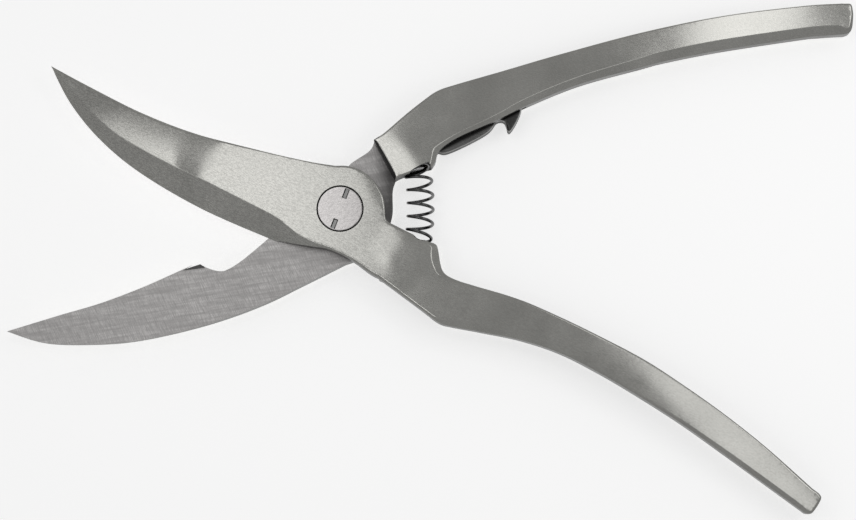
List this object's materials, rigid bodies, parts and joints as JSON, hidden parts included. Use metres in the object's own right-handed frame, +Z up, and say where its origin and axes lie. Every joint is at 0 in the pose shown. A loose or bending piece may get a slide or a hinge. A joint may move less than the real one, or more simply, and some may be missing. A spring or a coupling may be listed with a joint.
{
  "type": "poultry shears",
  "caption": "Spring-loaded poultry shears: two curved steel blades, one with a bone notch, two long bevelled handles and a swing-out latch.",
  "frame": {"origin": "pivot axis where it meets the surface the shears lie on, at the centre of the pivot nut's back face", "axes": "+Z up along the pivot axis from the back face to the front face, +X towards the handles, +Y towards the upper handle; the handles are sprung open"},
  "size_m": [0.2349, 0.1427, 0.01],
  "materials": {
    "forged_steel": "satin ground stainless steel with fine lengthwise grain",
    "screw_steel": "fine turned stainless steel",
    "spring_steel": "drawn spring wire, smooth",
    "pin_steel": "ground pin stock",
    "latch_steel": "dark, less finely ground steel",
    "washer_brass": "plain rolled"
  },
  "bodies": {
    "rear": {"rear_half": "forged_steel", "pivot_screw": "screw_steel", "pivot_nut": "screw_steel", "spring_washer": "spring_steel", "friction_washer": "washer_brass", "upper_spring_peg": "pin_steel", "return_spring": "spring_steel", "latch_pin": "pin_steel", "latch_spring": "spring_steel"},
    "front": {"front_half": "forged_steel", "lower_spring_peg": "pin_steel", "catch_pin": "pin_steel"},
    "latch": {"latch_lever": "latch_steel"}
  },
  "joints": [
    {"name": "handle_pivot", "type": "hinge", "parent": "rear", "child": "front", "pos_m": [0, 0, 0.005], "axis": [0, 0, 1], "range_deg": [0, 44], "stiffness_Nm_per_rad": 0.9, "deforming": ["return_spring"]},
    {"name": "latch_swing", "type": "hinge", "parent": "rear", "child": "latch", "pos_m": [0.027, 0.0189, 0.005], "axis": [0, 0, 1], "range_deg": [-50, 0], "stiffness_Nm_per_rad": 0.01, "deforming": ["latch_spring"]}
  ]
}
